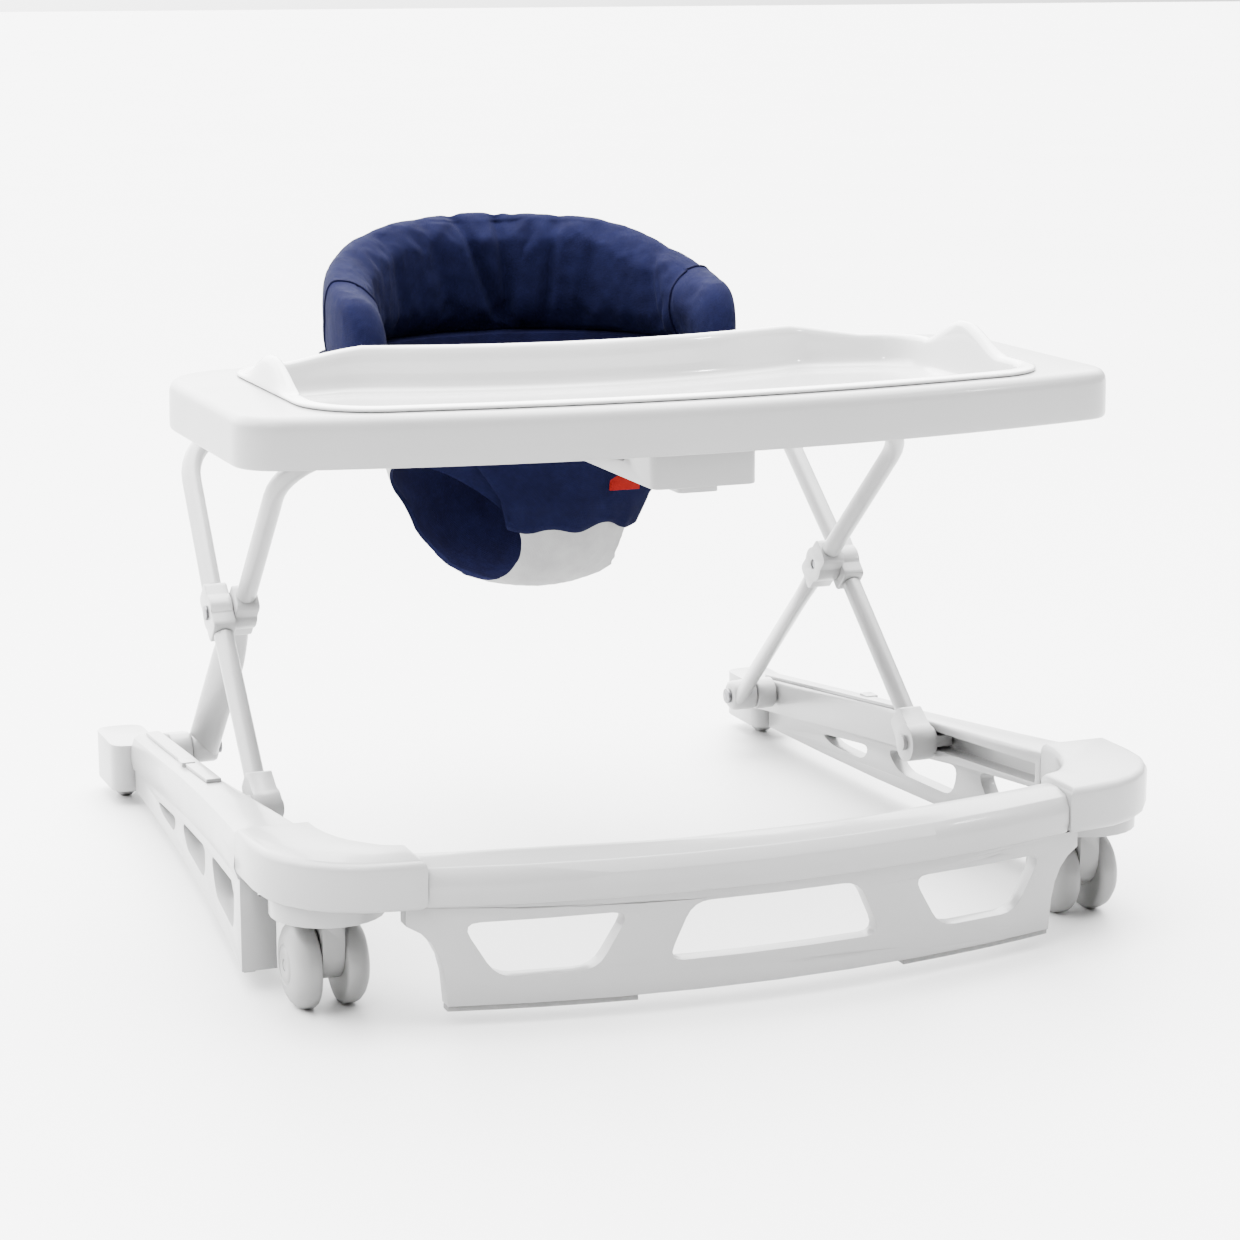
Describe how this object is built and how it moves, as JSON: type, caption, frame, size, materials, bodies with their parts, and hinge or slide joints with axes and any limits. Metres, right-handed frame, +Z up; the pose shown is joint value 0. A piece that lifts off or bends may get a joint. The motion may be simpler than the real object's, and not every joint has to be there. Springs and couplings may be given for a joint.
{
  "type": "baby walker",
  "caption": "Folding baby walker: a bowed base on casters, a crossed tube frame, a wide tray with a lift-out insert and a hanging fabric seat.",
  "frame": {"origin": "on the floor, under the middle of the base", "axes": "+Z up, the front with the bowed rail faces -Y, right is +X and left is -X as seen from the front"},
  "size_m": [0.7036, 0.7492, 0.504],
  "materials": {
    "white_plastic": "moulded white plastic, soft gloss",
    "wheel_plastic": "white wheel plastic",
    "insert_plastic": "high gloss white plastic",
    "white_paint": "white powder coat on steel tube",
    "pad_rubber": "matt grip strip",
    "steel": "plain steel screws",
    "navy_cloth": "navy woven polyester, quilted",
    "red_tag": "woven ribbon tag"
  },
  "bodies": {
    "base": {"front_rail": "white_plastic", "front_skirt": "white_plastic", "right_front_grip": "pad_rubber", "left_front_grip": "pad_rubber", "right_corner_cap": "white_plastic", "left_corner_cap": "white_plastic", "right_caster_shell": "white_plastic", "left_caster_shell": "white_plastic", "right_side_rail": "white_plastic", "left_side_rail": "white_plastic", "right_rail_cover": "white_plastic", "left_rail_cover": "white_plastic", "right_side_skirt": "white_plastic", "left_side_skirt": "white_plastic", "right_side_grip": "pad_rubber", "left_side_grip": "pad_rubber", "right_rear_housing": "white_plastic", "left_rear_housing": "white_plastic", "right_rear_bracket": "white_plastic", "left_rear_bracket": "white_plastic", "right_foot_bolt": "steel", "left_foot_bolt": "steel"},
    "right_caster": {"right_caster_hood": "wheel_plastic"},
    "left_caster": {"left_caster_hood": "wheel_plastic"},
    "right_outer_disc": {"right_outer_caster_disc": "wheel_plastic"},
    "right_inner_disc": {"right_inner_caster_disc": "wheel_plastic"},
    "left_outer_disc": {"left_outer_caster_disc": "wheel_plastic"},
    "left_inner_disc": {"left_inner_caster_disc": "wheel_plastic"},
    "right_rear_wheel": {"right_rear_wheel": "wheel_plastic"},
    "left_rear_wheel": {"left_rear_wheel": "wheel_plastic"},
    "inner_frame": {"front_upper_tube": "white_paint", "right_inner_leg": "white_plastic", "left_inner_leg": "white_plastic", "right_inner_hinge_block": "white_plastic", "left_inner_hinge_block": "white_plastic"},
    "outer_frame": {"rear_upper_tube": "white_paint", "right_outer_leg": "white_paint", "left_outer_leg": "white_paint", "right_outer_hinge_block": "white_plastic", "left_outer_hinge_block": "white_plastic", "right_hinge_bolt": "steel", "left_hinge_bolt": "steel", "right_front_foot": "white_plastic", "left_front_foot": "white_plastic"},
    "foot_sliders": {"right_foot_slider": "white_plastic", "left_foot_slider": "white_plastic"},
    "tray": {"tray_shell": "white_plastic", "adjuster_housing": "white_plastic", "seat_ring": "white_plastic", "right_bar_clip": "white_plastic", "left_bar_clip": "white_plastic", "backrest_frame": "white_plastic", "back_pad": "navy_cloth", "seat_sling": "navy_cloth", "seat_tag": "red_tag"},
    "tray_insert": {"tray_insert": "insert_plastic"},
    "height_latch": {"height_latch": "white_plastic"}
  },
  "joints": [
    {"name": "fold", "type": "hinge", "parent": "base", "child": "inner_frame", "pos_m": [0, 0.268, 0.056], "axis": [1, 0, 0], "range_deg": [0, 31.3]},
    {"name": "scissor_hinge", "type": "hinge", "parent": "inner_frame", "child": "outer_frame", "pos_m": [0, 0.108, 0.208], "axis": [1, 0, 0], "range_deg": [-70.5, 0]},
    {"name": "foot_pivot", "type": "hinge", "parent": "outer_frame", "child": "foot_sliders", "pos_m": [0, -0.03, 0.081], "axis": [1, 0, 0], "range_deg": [0, 39.1]},
    {"name": "tray_hinge", "type": "hinge", "parent": "outer_frame", "child": "tray", "pos_m": [0, 0.246, 0.335], "axis": [1, 0, 0], "range_deg": [0, 39.1]},
    {"name": "right_caster_swivel", "type": "hinge", "parent": "base", "child": "right_caster", "pos_m": [0.3, -0.27, 0], "axis": [0, 0, 1], "continuous": true},
    {"name": "right_outer_disc_spin", "type": "hinge", "parent": "right_caster", "child": "right_outer_disc", "pos_m": [0.3, -0.256, 0.032], "axis": [1, 0, 0], "continuous": true},
    {"name": "right_inner_disc_spin", "type": "hinge", "parent": "right_caster", "child": "right_inner_disc", "pos_m": [0.3, -0.256, 0.032], "axis": [1, 0, 0], "continuous": true},
    {"name": "right_rear_wheel_spin", "type": "hinge", "parent": "base", "child": "right_rear_wheel", "pos_m": [0.306, 0.341, 0.019], "axis": [1, 0, 0], "continuous": true},
    {"name": "left_caster_swivel", "type": "hinge", "parent": "base", "child": "left_caster", "pos_m": [-0.3, -0.27, 0], "axis": [0, 0, 1], "continuous": true},
    {"name": "left_outer_disc_spin", "type": "hinge", "parent": "left_caster", "child": "left_outer_disc", "pos_m": [-0.3, -0.256, 0.032], "axis": [1, 0, 0], "continuous": true},
    {"name": "left_inner_disc_spin", "type": "hinge", "parent": "left_caster", "child": "left_inner_disc", "pos_m": [-0.3, -0.256, 0.032], "axis": [1, 0, 0], "continuous": true},
    {"name": "left_rear_wheel_spin", "type": "hinge", "parent": "base", "child": "left_rear_wheel", "pos_m": [-0.306, 0.341, 0.019], "axis": [1, 0, 0], "continuous": true},
    {"name": "insert_lift", "type": "slide", "parent": "tray", "child": "tray_insert", "axis": [0, 0, 1], "range_m": [0, 0.1]},
    {"name": "latch_pull", "type": "slide", "parent": "tray", "child": "height_latch", "axis": [0, -1, 0], "range_m": [0, 0.007], "stiffness_N_per_m": 250}
  ],
  "couplings": [
    {"joint": "scissor_hinge", "follows": "fold", "ratio": -2.243},
    {"joint": "foot_pivot", "follows": "fold", "ratio": 1.243},
    {"joint": "tray_hinge", "follows": "fold", "ratio": 1.243}
  ]
}
